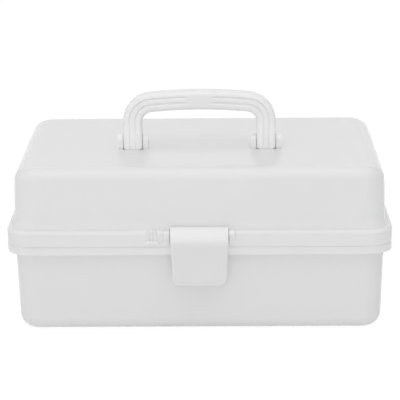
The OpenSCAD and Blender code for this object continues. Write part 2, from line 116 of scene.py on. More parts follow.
class BaseSizes(PropertyGroup):
    """Sizes of the base moulding."""
    inset_top: length("Inset at the top", 6.4, "How far the wall lies inside the rim at the top")
    inset_foot: length("Inset at the floor", 8.2, "How far the wall lies inside the rim at the floor")
    corner: length("Corner", 17.5, "Corner radius of the wall in plan")
    edge: length("Foot edge", 12, "Radius of the edge round the underside")
    flange_h: length("Flange height", 6.7, "Height of the flange under the parting line")
    flange_inset: length("Flange inset", 0.05, "How far the flange lies inside the rim")
    flange_edge: length("Flange edge", 0.2, "Radius of the flange's edges")
    bead_w: length("Bead width", 0.3, "Width of the bead along the flange's top, outside the lid")
    bead_h: length("Bead height", 0.2, "Height of that bead")
    lip_h: length("Lip height", 2.4, "Height of the lip that stands inside the lid")
    boss_r: length("Boss radius", 3.9, "Radius of the bosses round the arm pins")
    boss_x: length("Boss face", 152.32, "Distance of the bosses' faces from the middle")
    pin_r: length("Arm pin radius", 1.8, "Radius of the arm pins")
    bore_depth: length("Bore depth", 4.55, "Depth of the arm pins' holes in the bosses")


class LidSizes(PropertyGroup):
    """Sizes of the lid moulding."""
    gap: length("Parting gap", 0.06, "Gap between lid and base when shut")
    top_rise: length("Lid height", 66.6, "Height of the lid above the parting line")
    rim_rise: length("Rim height", 14.6, "Height of the rim above the parting line")
    inset_low: length("Inset low", 6.4, "How far the wall lies inside the rim, low down")
    inset_high: length("Inset high", 7, "How far the wall lies inside the rim, high up")
    corner: length("Corner", 20, "Corner radius of the wall in plan")
    edge: length("Top edge", 14.2, "Radius of the edge round the top")
    front_edge: length("Front top edge", 9.5, "Radius of the top edge along the front")
    cove_w: length("Cove width", 2.8, "Width of the hollow curve above the rim")
    cove_h: length("Cove height", 9.5, "Height of the hollow curve above the rim")
    rim_edge: length("Rim edge", 3.6, "Radius of the rim's upper edge")
    skirt_in: length("Skirt inset", 0.25, "How far the rim's lower edge lies inside the base's flange")
    hood_h: length("Hood height", 5.2, "Height above the latch's pin of the ledge behind its barrel")
    lug_r: length("Lug radius", 4.6, "Radius of the lugs beside the handle's feet")
    lug_w: length("Lug width", 5, "Width of each lug")
    boss_x: length("Boss face", 148.82, "Distance of the tray bosses' faces from the middle")
    bore_depth: length("Bore depth", 4.5, "Depth of the tray pins' holes in the bosses")


class TabSizes(PropertyGroup):
    """Sizes of the ribbed tab on the lid's rim."""
    x: length("Place", 40.5, "Distance of the tab from the middle")
    rise: length("Rise", 3.0, "Height of the ledge above the lid's lower edge")
    ledge_t: length("Ledge thickness", 2.7, "Thickness of the ledge")
    ledge_w: length("Ledge width", 12, "Width of the ledge")
    width: length("Width", 7.6, "Width over the three ribs")
    over: length("Reach", 0.5, "How far the ribs stand above the rim")


class TraySizes(PropertyGroup):
    """Sizes of the two trays."""
    wall: length("Wall", 1.6, "Thickness of the outer walls")
    rib: length("Partition", 1.4, "Thickness of the partitions")
    corner: length("Corner", 8, "Corner radius in plan")
    floor_edge: length("Floor edge", 2.6, "Radius of the edges inside, round each floor")
    foot_edge: length("Foot edge", 2.0, "Radius of the edge round the underside")
    upper_row: length("Upper front row", 46, "Depth of the upper tray's front compartments")
    lower_row: length("Lower front row", 62, "Depth of the lower tray's front compartments")
    upper_cells: whole("Upper cells", 4, "Compartments across the upper tray")
    lower_cells: whole("Lower cells", 3, "Compartments across the lower tray")
    boss_r: length("Boss radius", 3.9, "Radius of the bosses inside the ends")
    boss_len: length("Boss length", 3, "Length of those bosses")
    bore_r: length("Bore radius", 1.83, "Radius of the holes through those bosses")
    lip: length("Rim edge", 0.5, "Radius of the edge round the outside of the rim")
    flare: length("Flare", 0.55, "Radius by which the compartments widen at the rim")


class LatchSizes(PropertyGroup):
    """Sizes of the latch."""
    width: length("Width", 49.6, "Width at the barrel")
    tip_width: length("Foot width", 45.4, "Width at the lower edge")
    barrel_r: length("Barrel radius", 5.8, "Radius of the barrel")
    pin_r: length("Pin radius", 1.25, "Radius of the latch pin")
    face_out: length("Face distance", 6.2, "How far the face stands in front of the pin")
    brow: length("Brow", 7.3, "How far below the pin the brow's curve meets the face")
    drop: length("Drop", 45, "Length from the pin to the lower edge")
    thickness: length("Thickness", 2.2, "Thickness of the face")
    tip_corner: length("Foot corner", 6, "Corner radius of the lower edge")
    edge: length("Front edge", 1.2, "Radius of the edges round the face")
    lip_r: length("Lip radius", 1.5, "Radius of the bead along the lower edge")
    ear_w: length("Ear width", 5.2, "Width of the ears beside the latch")
    ear_r: length("Ear radius", 2.7, "Radius of the ears")
    side_gap: length("Side gap", 0.3, "Gap between latch and ears")
    back_gap: length("Back gap", 0.25, "Gap behind the barrel")


class HandleSizes(PropertyGroup):
    """Sizes of the handle."""
    width: length("Width", 134, "Width over the legs")
    rise: length("Rise", 52.1, "Height of the grip above the lid")
    grip_w: length("Grip width", 17, "Width of grip and legs from the front")
    grip_d: length("Grip depth", 14, "Depth of grip and legs")
    corner: length("Corner", 26, "Outer corner radius")
    crown: length("Crown", 440, "Radius of the crown along the grip")
    section_r: length("Section round", 4.2, "Corner radius of the section")
    pin_r: length("Pin radius", 2, "Radius of the handle pins")
    foot_drop: length("Foot drop", 8.2, "How far each leg reaches below its pivot")
    foot_round: length("Foot round", 1.5, "Radius of the edges round each foot")
    groove_lean: length("Groove lean", 0.75, "How much further in the grooves lie on the legs")
    groove_depth: length("Groove depth", 1.1, "Depth of the grooves")
    groove_w: length("Groove width", 1.1, "Half-width of the grooves")
    groove_outer: length("Outer groove", 5.2, "Distance of the outer groove from the outer edge")
    groove_inner: length("Inner groove", 10.2, "Distance of the inner groove from the outer edge")
    panel: length("Panel", 12, "Half-length of the smooth panel at the middle")


class Finishes(PropertyGroup):
    """Colours of the plastics and the steel."""
    shell: colour("Shell", [0.772] * 3, "Frosted plastic of the lid and the base's flange")
    # Painted shade: the base below its flange is tinted a little darker than the shell.
    base: colour("Base", [0.76] * 3, "Frosted plastic of the base below its flange")
    tray: colour("Trays", [0.90] * 3, "Frosted plastic of the trays")
    # The latch's barrel takes this lighter tint as a painted highlight above its darker face.
    fittings: colour("Fittings", [0.81] * 3, "Milky plastic of the handle and the latch's barrel")
    # Painted light: the lower ends of the handle's legs are tinted lighter, in place of light in the shade
    # next to the lid.
    feet_painted_light: colour("Handle's feet", [0.88] * 3, "Milky plastic at the thick ends of the handle")
    # Painted light: a lighter tint on the handle's lugs, in place of light in the shade round the handle's
    # legs.
    lugs: colour("Lugs", [0.835] * 3, "Frosted plastic where it is solid, in the handle's lugs")
    # The latch's face; the barrel above it is tinted lighter, a painted highlight.
    latch: colour("Latch", [0.74] * 3, "Milky plastic of the latch's face")
    steel: colour("Steel", (0.62, 0.63, 0.65), "Steel of the hinge and latch pins")


class StudioSettings(PropertyGroup):
    """The camera, the lamps and the floor."""
    azimuth: angle("Azimuth", 0.734, "Camera's turn to the right")
    elevation: angle("Elevation", 17.265, "Camera's height angle")
    roll: angle("Roll", -0.531, "Camera's tilt")
    distance: length("Distance", 1471.75, "Camera's distance from what it looks at")
    aim_x: length("Aim X", -0.42, "Sideways place that the camera looks at")
    aim_z: length("Aim Z", 89.91, "Height that the camera looks at")
    lens: number("Lens", 146.4, "Focal length for the sensor's width", unit="CAMERA")
    sensor: number("Sensor", 36.0, "Width of the sensor", unit="CAMERA")
    dome: number("Dome", 0.56, "Strength of the light from all round")
    top_lamp: number("Top lamp", 0.66, "Radiance of the lamp overhead")
    back_lamp: number("Back lamp", 0.3, "Radiance of the lamp high behind")
    side_lamp: number("Side lamp", 0.3, "Radiance of the lamp on the left")
    front_lamp: number("Front lamp", 0.1, "Radiance of the wide lamp in front")
    near_lamp: number("Near lamp", 3, "Radiance of the lamp beside the camera")
    shadow: number("Shadow", 0.14, "Share of the floor that shows the shadow")
    floor_tone: number("Floor tone", 0.93, "How much light the floor throws back")
    floor_glow: number("Floor glow", 1.06, "Brightness of the floor where it is seen")


# ---------------------------------------------------------------- surfaces

def quarter(steps):
    """Angles of a quarter turn, 0 to 90 degrees."""
    return np.linspace(0.0, np.pi / 2, steps + 1)


def rounded_rings(half_x, half_y, inset, height, corner, steps):
    """Rings of a rounded rectangle, one for each entry of the profile.

    A ring's sides lie `inset` inside the rectangle, and each corner is a quarter circle of
    radius `corner`: x = ±(half_x - inset - corner) + corner cos t, and y likewise with sin t.
    """
    inset, height, corner = (np.asarray(v, float)[:, None, None] for v in (inset, height, corner))
    turn = np.arange(4)[:, None] * np.pi / 2 + quarter(steps)[None, :]
    side_x = np.array([1, -1, -1, 1])[:, None]
    side_y = np.array([1, 1, -1, -1])[:, None]
    x = side_x * (half_x - inset - corner) + corner * np.cos(turn)
    y = side_y * (half_y - inset - corner) + corner * np.sin(turn)
    z = height + 0.0 * x
    return np.stack([x, y, z], -1).reshape(len(x), -1, 3)


def eased(t):
    """A smooth step from 0 to 1: 3 t^2 - 2 t^3."""
    return t * t * (3 - 2 * t)


def rounded_edge(inset, height, corner, radius, rise=1, steps=12):
    """A quarter round from a flat face to an upright wall, as rows of inset, height and corner radius.

    inset + r (1 - sin t), height + rise r (1 - cos t), corner - r (1 - sin t), for t from 0 to 90
    degrees. rise is 1 where the wall stands above the face, and -1 where it hangs below.
    """
    t = quarter(steps)
    draw = radius * (1 - np.sin(t))
    return np.stack([inset + draw, height + rise * radius * (1 - np.cos(t)), corner - draw])


def capped(profile, width, both=True):
    """The profile with one more ring inside its ends, so that the flat caps shade as flat."""
    step = np.array([[width], [0.0], [-width]])
    last = [profile[:, -1:] + step] if both else []
    return np.concatenate([profile[:, :1] + step, profile] + last, 1)


def rounded_profile(rows, steps=5):
    """A profile of (inset, height, corner) points with its bends rounded.

    Each row's fourth number is the bend's radius r. A bend that turns by the angle b starts
    and ends r tan(b/2) from its point, and between them it is the circle that a quadratic
    Bezier curve draws when its middle point has the weight cos(b/2).
    """
    rows = np.array(rows, float)
    points, radius = rows[:, :3], rows[:, 3]
    made = [points[:1]]
    t = np.linspace(0.0, 1.0, steps + 1)[:, None]
    for before, point, after, r in zip(points[:-2], points[1:-1], points[2:], radius[1:-1]):
        back, ahead = before - point, after - point
        long_back, long_ahead = np.linalg.norm(back[:2]), np.linalg.norm(ahead[:2])
        cosine = np.clip(-(back[:2] @ ahead[:2]) / (long_back * long_ahead), -1.0, 1.0)
        bend = np.arccos(cosine)
        reach = min(r * np.tan(bend / 2), 0.49 * long_back, 0.49 * long_ahead)
        if reach < 1e-7:
            made.append(point[None])
            continue
        first, last = point + back * reach / long_back, point + ahead * reach / long_ahead
        weight = np.cos(bend / 2)
        share = (1 - t) ** 2 + 2 * weight * t * (1 - t) + t ** 2
        made.append(((1 - t) ** 2 * first + 2 * weight * t * (1 - t) * point + t ** 2 * last) / share)
    made.append(points[-1:])
    return np.concatenate(made).T


def loft(rings):
    """A closed skin: four-sided faces between neighbouring rings, and a face over each end ring."""
    count, around = rings.shape[:2]
    index = np.arange(count * around).reshape(count, around)
    ahead = np.roll(index, -1, 1)
    sides = np.stack([index[:-1], ahead[:-1], ahead[1:], index[1:]], -1).reshape(-1, 4)
    return rings.reshape(-1, 3), sides.tolist() + [index[0][::-1].tolist(), index[-1].tolist()]


def join(surfaces):
    """Several skins that don't touch, as one."""
    points, faces, first = [], [], 0
    for p, f in surfaces:
        points.append(p)
        faces += [[i + first for i in face] for face in f]
        first += len(p)
    return np.concatenate(points), faces


def mirrored(surface):
    """The surface reflected left to right, with its faces turned to point outwards again."""
    points, faces = surface
    return points * np.array([-1.0, 1.0, 1.0]), [face[::-1] for face in faces]


def both_sides(surfaces):
    """Surfaces of the right side and their reflections."""
    return list(surfaces) + [mirrored(s) for s in surfaces]


def moved(surface, x=0.0, y=0.0, z=0.0):
    """The surface moved along the axes."""
    points, faces = surface
    return points + np.array([x, y, z]), faces


def rounded_ends(start, stop, edge, steps=4):
    """Stations from start to stop with a quarter round at each end: their places, and how far drawn in."""
    t = quarter(steps)
    place = np.concatenate([start + edge * (1 - np.cos(t)), stop - edge * (1 - np.cos(t[::-1]))])
    drawn = np.concatenate([edge * (1 - np.sin(t)), edge * (1 - np.sin(t[::-1]))])
    return place, drawn


def drawn_in(outline, distance):
    """An outline moved inwards: each point goes along the mean of its two edges' normals."""
    edge = np.roll(outline, -1, 0) - outline
    normal = np.stack([edge[:, 1], -edge[:, 0]], -1)
    normal /= np.maximum(np.linalg.norm(normal, axis=1, keepdims=True), 1e-12)
    both = normal + np.roll(normal, 1, 0)
    both /= np.maximum((both * both).sum(1, keepdims=True), 1e-12) / 2
    return outline[None] - np.asarray(distance)[:, None, None] * both[None]


def slab(outline, start, stop, edge):
    """An outline of (y, z) points, anticlockwise as seen from +X, carried along X with rounded rims."""
    place, drawn = rounded_ends(start, stop, edge)
    flat = drawn_in(outline, drawn)
    along = np.broadcast_to(place[:, None], flat.shape[:2])
    return loft(np.stack([along, flat[..., 0], flat[..., 1]], -1))


def arc(centre, radius, start, stop, count):
    """Points of an arc between two angles in degrees."""
    t = np.radians(np.linspace(start, stop, count))
    return np.stack([centre[0] + radius * np.cos(t), centre[1] + radius * np.sin(t)], -1)


def rod(centre, start, stop, radius, edge=0.25 * MM, count=48):
    """A round bar along X at a (y, z) place, with rounded rims."""
    return slab(arc(centre, radius, 0, 360 * (1 - 1 / count), count), start, stop, edge)


def bore(centre, start, stop, radius):
    """A round cutter for a hole along X."""
    return rod(centre, start, stop, radius, BORE_EDGE)


def block(low, high, edge=0.3 * MM, steps=3):
    """A box with rounded edges: rings of a rounded rectangle that draw in at the foot and the top."""
    low, high = np.array(low, float), np.array(high, float)
    half, middle = (high - low) / 2, (high + low) / 2
    height, drawn = rounded_ends(-half[2], half[2], edge, steps)
    rings = rounded_rings(half[0], half[1], drawn, height, edge - drawn + 0.02 * MM, steps)
    return moved(loft(rings), *middle)


def piece(name, surface):
    """A mesh object of a surface, with points that coincide merged."""
    points, faces = surface
    mesh = bpy.data.meshes.new(name)
    mesh.from_pydata(points.tolist(), [], faces)
    work = bmesh.new()
    work.from_mesh(mesh)
    bmesh.ops.remove_doubles(work, verts=work.verts, dist=MERGED)
    work.to_mesh(mesh)
    work.free()
    made = bpy.data.objects.new(name, mesh)
    bpy.context.scene.collection.objects.link(made)
    return made


def moulded(name, body, added, cut, finish, hollows=()):
    """A moulding: hollows are cut from the body, then parts united with it, then holes cut, in groups."""
    made = piece(name, body)
    cutters = []
    for operation, groups in (("DIFFERENCE", hollows), ("UNION", added), ("DIFFERENCE", cut)):
        for group in groups:
            cutters.append(piece("cutter", join(group)))
            step = made.modifiers.new("shape", "BOOLEAN")
            step.operation, step.solver, step.object = operation, "EXACT", cutters[-1]
    bpy.context.view_layer.update()
    shaped = bpy.data.meshes.new_from_object(made.evaluated_get(bpy.context.evaluated_depsgraph_get()))
    made.modifiers.clear()
    first, made.data = made.data, shaped
    bpy.data.meshes.remove(first)
    for cutter in cutters:
        bpy.data.objects.remove(cutter)
    shaped.name = name
    shaped.materials.clear()
    shaped.materials.append(finish)
    shaped.polygons.foreach_set("use_smooth", np.ones(len(shaped.polygons), bool))
    shaped.set_sharp_from_angle(angle=SHARP)
    shaped.update()
    weigh = made.modifiers.new("flat faces", "WEIGHTED_NORMAL")
    weigh.keep_sharp, weigh.weight = True, 60
    return made


# ---------------------------------------------------------------- finishes

class Wire:
    """An output of a node. Arithmetic on it adds Math nodes."""

    def __init__(self, recipe, socket):
        self.recipe, self.socket = recipe, socket

    def math(self, operation, first, second):
        return self.recipe.node("ShaderNodeMath", {"operation": operation}, {0: first, 1: second})

    def __add__(self, other):
        return self.math("ADD", self, other)

    def __radd__(self, other):
        return self.math("ADD", other, self)

    def __sub__(self, other):
        return self.math("SUBTRACT", self, other)

    def __rsub__(self, other):
        return self.math("SUBTRACT", other, self)

    def __mul__(self, other):
        return self.math("MULTIPLY", self, other)

    def __rmul__(self, other):
        return self.math("MULTIPLY", other, self)


class Recipe:
    """The nodes of one finish, floor or sky."""

    def __init__(self, tree, output):
        self.tree = tree
        tree.nodes.clear()
        self.end = tree.nodes.new(output)

    def node(self, kind, settings=None, inputs=None, output=0):
        """Adds a node: its settings come first, then the values or links of its sockets."""
        made = self.tree.nodes.new(kind)
        for name, value in (settings or {}).items():
            setattr(made, name, value)
        for name, value in (inputs or {}).items():
            if isinstance(value, Wire):
                self.tree.links.new(value.socket, made.inputs[name])
            else:
                made.inputs[name].default_value = value
        return Wire(self, made.outputs[output])

    def mix_colour(self, share, first, second):
        """A blend of two colours."""
        return self.node("ShaderNodeMix", {"data_type": "RGBA"}, {0: share, 6: first, 7: second}, 2)

    def noise(self, place, scale, detail, roughness):
        """Soft random values round one half."""
        return self.node("ShaderNodeTexNoise", {}, {"Vector": place, "Scale": scale, "Detail": detail,
                                                    "Roughness": roughness})

    def step(self, value, start, full):
        """A smooth step of a value: 0 at start, 1 from full on."""
        return self.node("ShaderNodeMapRange", {"interpolation_type": "SMOOTHSTEP"},
                         {"Value": value, "From Min": start, "From Max": full})

    def bump(self, height, strength, depth):
        """A normal that a height tilts."""
        return self.node("ShaderNodeBump", {}, {"Strength": strength, "Distance": depth, "Height": height})

    def finish(self, surface):
        """Links the shader to the output."""
        self.tree.links.new(surface.socket, self.end.inputs["Surface"])


def material(name):
    """A new material and its recipe."""
    made = bpy.data.materials.new(name)
    made.use_nodes = True
    return made, Recipe(made.node_tree, "ShaderNodeOutputMaterial")


def plastic(name, tint, gloss, grain, cloud, depth, painted_light=None):
    """Moulded plastic: a fine spark-eroded grain, faint clouding in the colour, and soft scuffs.

    The last argument is (start, full, tint), painted light and shade: from the height start the colour
    turns to a second tint, reached at full.
    """
    made, recipe = material(name)
    place = recipe.node("ShaderNodeTexCoord", output="Object")
    clouds = recipe.noise(place, scale=14.0, detail=3.0, roughness=0.55)
    fine = recipe.noise(place, scale=1900.0, detail=2.0, roughness=0.6)
    brushed = recipe.node("ShaderNodeMapping", {}, {"Vector": place, "Scale": (1.0, 1.0, 7.0),
                                                    "Rotation": (0.4, 0.7, 0.3)})
    marks = recipe.step(recipe.noise(brushed, scale=160.0, detail=5.0, roughness=0.62), 0.58, 0.74)
    dark = (*[c * (1 - cloud) for c in tint], 1.0)
    light = (*[min(1.0, c * (1 + cloud)) for c in tint], 1.0)
    tone = recipe.mix_colour(clouds, dark, light)
    # Painted light and shade: by height the colour turns to a second tint, lighter or darker than the
    # first.
    if painted_light:
        start, full, painted_tint = painted_light
        height = recipe.node("ShaderNodeSeparateXYZ", {}, {"Vector": place}, "Z")
        tone = recipe.mix_colour(recipe.step(height, start, full), tone, (*painted_tint, 1.0))
    recipe.finish(recipe.node("ShaderNodeBsdfPrincipled", {}, {
        "Base Color": tone,
        "Roughness": gloss + (fine - 0.5) * 0.08 + (clouds - 0.5) * 0.06 + marks * 0.05,
        "IOR": 1.56,
        "Subsurface Weight": 1.0,
        "Subsurface Radius": (1.0, 1.0, 1.0),
        "Subsurface Scale": depth,
        "Normal": recipe.bump(fine, grain, 0.04 * MM),
    }))
    return made


def steel(name, tint):
    """Drawn steel wire: fine marks round the pin, and a few dull spots."""
    made, recipe = material(name)
    place = recipe.node("ShaderNodeTexCoord", output="Object")
    along = recipe.node("ShaderNodeMapping", {}, {"Vector": place, "Scale": (9.0, 1.0, 1.0)})
    lines = recipe.noise(along, scale=420.0, detail=3.0, roughness=0.6)
    dull = recipe.noise(place, scale=90.0, detail=3.0, roughness=0.6)
    recipe.finish(recipe.node("ShaderNodeBsdfPrincipled", {}, {
        "Base Color": recipe.mix_colour(dull, (*[c * 0.9 for c in tint], 1.0), (*tint, 1.0)),
        "Metallic": 1.0,
        "Roughness": 0.24 + lines * 0.12 + dull * 0.08,
        "Normal": recipe.bump(lines, 0.15, 0.03 * MM),
    }))
    return made


def shell_finish_lug_painted_light(s):
    """The lid's frosted plastic, with painted light on the lugs on its top: a lighter tint there stands in
    for light in the shade round the handle's legs.
    """
    top = s.shell.parting_z + s.lid.top_rise
    return plastic("frosted shell", tuple(s.finish.shell), 0.16, 0.10, 0.012, 1.2 * MM,
                   (top + 0.2 * MM, top + 2.5 * MM, tuple(s.finish.lugs)))


def base_finish_painted_shade(s):
    """The base's frosted plastic, with painted shade: a little darker below the flange, where the rim
    shades the wall; the flange keeps the shell's tint.
    """
    low = s.shell.parting_z - s.base.flange_h
    return plastic("frosted base", tuple(s.finish.base), 0.16, 0.10, 0.012, 1.2 * MM,
                   (low - 9.0 * MM, low - 1.0 * MM, tuple(s.finish.shell)))


def milky_finish_painted_light(name, tint, start, full, painted_tint):
    """The plastic of latch and handle, with painted light: between the heights start and full it turns to a
    lighter tint.
    """
    return plastic(name, tuple(tint), 0.2, 0.12, 0.012, 1.5 * MM, (start, full, tuple(painted_tint)))


# ---------------------------------------------------------------- places

def settings():
    """The sizes and colours of the part."""
    return bpy.context.scene.art_box


def axis_of(node):
    """The (y, z) place of a pin of the frame, seen from the end."""
    low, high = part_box(node)
    return np.array([(low[1] + high[1]) / 2, (low[2] + high[2]) / 2])


def hinge_places(shell):
    """Where the two hinges lie along X."""
    x = shell.rim_w / 2 - shell.hinge_end
    return -x, x


def hinge_bores(shell, reach, gap):
    """The cutters for the hinge pins' holes, each as long as twice the reach."""
    radius = shell.hinge_pin_r + gap
    return [bore(axis_of("hinge_pin_left"), x - reach, x + reach, radius) for x in hinge_places(shell)]


def knuckle(shell, start, stop, low, high, below):
    """A hinge knuckle and its web: a round eye whose web runs forward into the rim."""
    axis, r, root = axis_of("hinge_pin_left"), shell.knuckle_r, shell.rim_d / 2 - PAST
    notch = high - axis[1] if below else axis[1] - low
    turn = math.degrees(math.asin(max(-1.0, min(1.0, notch / r))))
    if below:
        outline = [[[root, low]], arc(axis, r, -90, 180 - turn, 40), [[root, high]]]
    else:
        outline = [arc(axis, r, -180 - turn, 90, 40), [[root, high], [root, low]]]
    return slab(np.concatenate(outline), start, stop, 0.3 * MM)


def wall_inset(s, height):
    """How far the base's wall lies inside the rim at a height."""
    return s.base.inset_foot + (s.base.inset_top - s.base.inset_foot) * height / s.shell.parting_z


# ---------------------------------------------------------------- operators

class ARTBOX_OT_base(Operator):
    """Makes the base: a tapered tub with a rounded foot, a rolled flange and a lip inside the lid"""
    bl_idname = "artbox.base"
    bl_label = "Base"

    def execute(self, context):
        s = settings()
        shell, base, top = s.shell, s.base, s.shell.parting_z
        half_x, half_y = shell.rim_w / 2, shell.rim_d / 2
        near = shell.mid_knuckle_w / 2 + shell.knuckle_gap
        far = near + shell.side_knuckle_w
        low = axis_of("hinge_pin_left")[1] - shell.knuckle_r
        knuckles = [knuckle(shell, x + a, x + b, low, top - s.lid.gap, True)
                    for x in hinge_places(shell) for a, b in ((-far, -near), (near, far))]
        pivots = [axis_of(f"{name}_base_pin_right") for name in ("front", "rear")]
        reach = half_x - wall_inset(s, pivots[0][1]) - shell.wall + PAST
        bosses = both_sides([rod(at, base.boss_x, reach, base.boss_r) for at in pivots])
        deep = base.boss_x + base.bore_depth
        bores = both_sides([bore(at, base.boss_x - PAST, deep, base.pin_r + 0.03 * MM) for at in pivots])
        notches = [block((x - near, half_y - 1.5 * MM, top + 0.02 * MM),
                         (x + near, half_y + PAST, top + 2.0 * MM), 0.02 * MM) for x in hinge_places(shell)]
        rings = rounded_rings(half_x, half_y, *self.profile(s), shell.corner_steps)
        made = moulded("base_shell_skin", loft(rings), [knuckles, bosses],
                       [bores, hinge_bores(shell, 1.5 * far, 0.04 * MM), notches], base_finish_painted_shade(s))
        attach(made, "base")
        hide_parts("base_shell")
        return {"FINISHED"}

    def profile(self, s):
        """Foot, wall, flange with its bead, lip, and the wall and floor inside, from outside in."""
        base, wall, top, rim = s.base, s.shell.wall, s.shell.parting_z, s.shell.rim_corner
        corner, out, lip, bead = base.corner, base.flange_inset, top + base.lip_h, top + base.bead_h
        foot, low, shut = wall_inset(s, base.edge), top - base.flange_h, base.flange_inset + base.bead_w
        inner = base.edge - wall
        soft, crisp = 0.9 * MM, 0.5 * MM
        folds = rounded_profile([
            (foot, base.edge, corner, 0),
            (base.inset_top, top - wall, corner, soft),
            (out + wall, top - wall, rim - out - wall, soft),
            (out + wall, low, rim - out - wall, 0.4 * MM),
            (out, low, rim - out, base.flange_edge),
            (out, bead, rim - out, base.flange_edge),
            (shut, bead, rim - shut, 0.08 * MM),
            (shut, top, rim - shut, 0.05 * MM),
            (base.inset_top, top, corner, 0.3 * MM),
            (base.inset_top, lip, corner, crisp),
            (base.inset_top + wall, lip, corner - wall, crisp),
            (foot + wall, wall + inner, corner - wall, 0),
        ])[:, 1:-1]
        outer = rounded_edge(foot, 0, corner, base.edge)
        inside = rounded_edge(foot + wall, wall, corner - wall, inner)[:, ::-1]
        return capped(np.concatenate([outer, folds, inside], 1), 0.6 * MM)


class ARTBOX_OT_lid(Operator):
    """Makes the lid: a domed tub with a wide rim, the latch's seat, a ribbed tab and the handle's lugs"""
    bl_idname = "artbox.lid"
    bl_label = "Lid"

    def execute(self, context):
        s = settings()
        shell, lid = s.shell, s.lid
        end, lift = shell.mid_knuckle_w / 2, axis_of("lid_pivot_pin_right")
        high = axis_of("hinge_pin_left")[1] + shell.knuckle_r
        knuckles = [knuckle(shell, x - end, x + end, shell.parting_z + lid.gap, high, False)
                    for x in hinge_places(shell)]
        inner_x = shell.rim_w / 2 - lid.inset_low - shell.wall
        bosses = both_sides([rod(lift, lid.boss_x, inner_x + PAST, s.base.boss_r)])
        deep = lid.boss_x + lid.bore_depth
        lift_bores = both_sides([bore(lift, lid.boss_x - PAST, deep, s.base.pin_r + 0.08 * MM)])
        seat, seat_cuts, latch_bore = self.latch_seat(s)
        lugs, lug_cuts = self.handle_lugs(s)
        added = [knuckles, bosses] + seat + lugs + self.tab(s)
        cut = seat_cuts + lug_cuts + [hinge_bores(shell, 2 * end, 0.08 * MM), latch_bore, lift_bores]
        made = moulded("lid_shell_skin", loft(self.rings(s)), added, cut, shell_finish_lug_painted_light(s))
        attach(made, "lid")
        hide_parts("lid_shell")
        return {"FINISHED"}

    def rings(self, s):
        """The lid's skin: top, wall and cove inside, the rim's edge, then cove, wall and top outside."""
        shell, lid, wall, rim = s.shell, s.lid, s.shell.wall, s.shell.rim_corner
        top, rim_z = shell.parting_z + lid.top_rise, shell.parting_z + lid.rim_rise
        skirt, skirt_in = shell.parting_z + lid.gap, lid.skirt_in

        def dome(thick):
            """The top's rounding and the wall, whose inset grows with the square of the height."""
            t = np.linspace(0, 1, 8)[1:-1]
            high, low = top - lid.edge, rim_z + lid.cove_h
            side = np.stack([lid.inset_low + thick + (lid.inset_high - lid.inset_low) * (1 - t) ** 2,
                             high + (low - high) * t, np.full(len(t), lid.corner - thick)])
            return np.concatenate([rounded_edge(lid.inset_high + thick, top - thick, lid.corner - thick,
                                                lid.edge - thick, -1), side], 1)

        def cove(thick, width, height):
            """The hollow curve from the wall to the rim, a quarter of an ellipse."""
            t = quarter(12)
            inset, bend = lid.inset_low + thick, lid.corner - thick
            return np.stack([inset - width + width * np.cos(t), rim_z + lid.cove_h - height * np.sin(t),
                             bend + (rim - inset + width - bend) * np.sin(t)])

        inside = np.concatenate([dome(wall), cove(wall, lid.inset_low, lid.cove_h + lid.rim_edge)], 1)
        outside = np.concatenate([dome(0), cove(0, lid.cove_w, lid.cove_h)], 1)[:, ::-1]
        folds = rounded_profile([
            (wall, rim_z - lid.rim_edge, rim - wall, 0),
            (wall + skirt_in, skirt, rim - wall - skirt_in, 0.3 * MM),
            (skirt_in, skirt, rim - skirt_in, 0.1 * MM),
            (0, rim_z - lid.rim_edge, rim, 0),
        ])[:, 1:-1]
        roll = rounded_edge(0, rim_z, rim, lid.rim_edge, -1, 8)[:, ::-1]
        profile = capped(np.concatenate([inside, folds, roll, outside], 1), 0.8 * MM)
        rings = rounded_rings(shell.rim_w / 2, shell.rim_d / 2, *profile, shell.corner_steps)
        thick = wall * (np.arange(profile.shape[1]) <= inside.shape[1])
        self.tighten(rings, profile[0], top - thick - profile[1], shell.rim_d / 2, lid.edge - thick,
                     lid.front_edge - thick)
        return rings

    def tighten(self, rings, inset, depth, half_y, wide, tight):
        """Gives the front half of the top's rounding a tighter radius, by scaling the rings in y.

        A rounding of radius r lies r (1 - sqrt(1 - (1 - d / r)^2)) inside its wall at the depth d
        below the top. The front half moves out by the difference between the wide and the tight one.
        """
        def inside(r):
            return r * (1 - np.sqrt(1 - np.clip(1 - depth / r, 0, 1) ** 2))

        grown = 1 + (inside(wide) - inside(tight)) / (half_y - inset)
        rings[..., 1] *= np.where(rings[..., 1] < 0, grown[:, None], 1.0)

    def latch_seat(self, s):
        """Seat, ledge and ears for the latch, the room that is cut for its barrel, and its pin's bore."""
        latch, lid, pin, rim = s.latch, s.lid, axis_of("latch_pin"), -s.shell.rim_d / 2
        skirt, rim_z = s.shell.parting_z + lid.gap, s.shell.parting_z + lid.rim_rise
        inner = lid.inset_low + s.shell.wall
        cut_x = latch.width / 2 + latch.side_gap
        ear_x = cut_x + latch.ear_w
        foot, low, proud, back = skirt + 1.1 * MM, skirt + 1.9 * MM, rim - 0.4 * MM, rim + 5.5 * MM
        cheek = arc(pin, latch.ear_r, 90, 205, 24)
        fall = np.linspace(0, 1, 14)[1:]
        slope = cheek[-1] + (np.array([proud, low]) - cheek[-1]) * np.stack([eased(fall), fall], -1)
        rear = [[rim + 2.5 * MM, foot], [back, skirt + 4.0 * MM], [back, pin[1] + latch.ear_r]]
        ear = np.concatenate([rear, cheek, slope, [[rim, skirt + 1.15 * MM]]])
        ears = both_sides([slab(ear, cut_x + 0.03 * MM, ear_x, 0.8 * MM)])
        seat = [block((-ear_x, rim + 0.02 * MM, foot), (ear_x, rim + inner, rim_z - 0.3 * MM), 0.5 * MM)]
        hood_x = latch.width / 2 - 0.5 * MM
        hood = [block((-hood_x, pin[0], rim_z - 3.0 * MM),
                      (hood_x, rim + inner - 0.3 * MM, pin[1] + lid.hood_h), 0.5 * MM)]

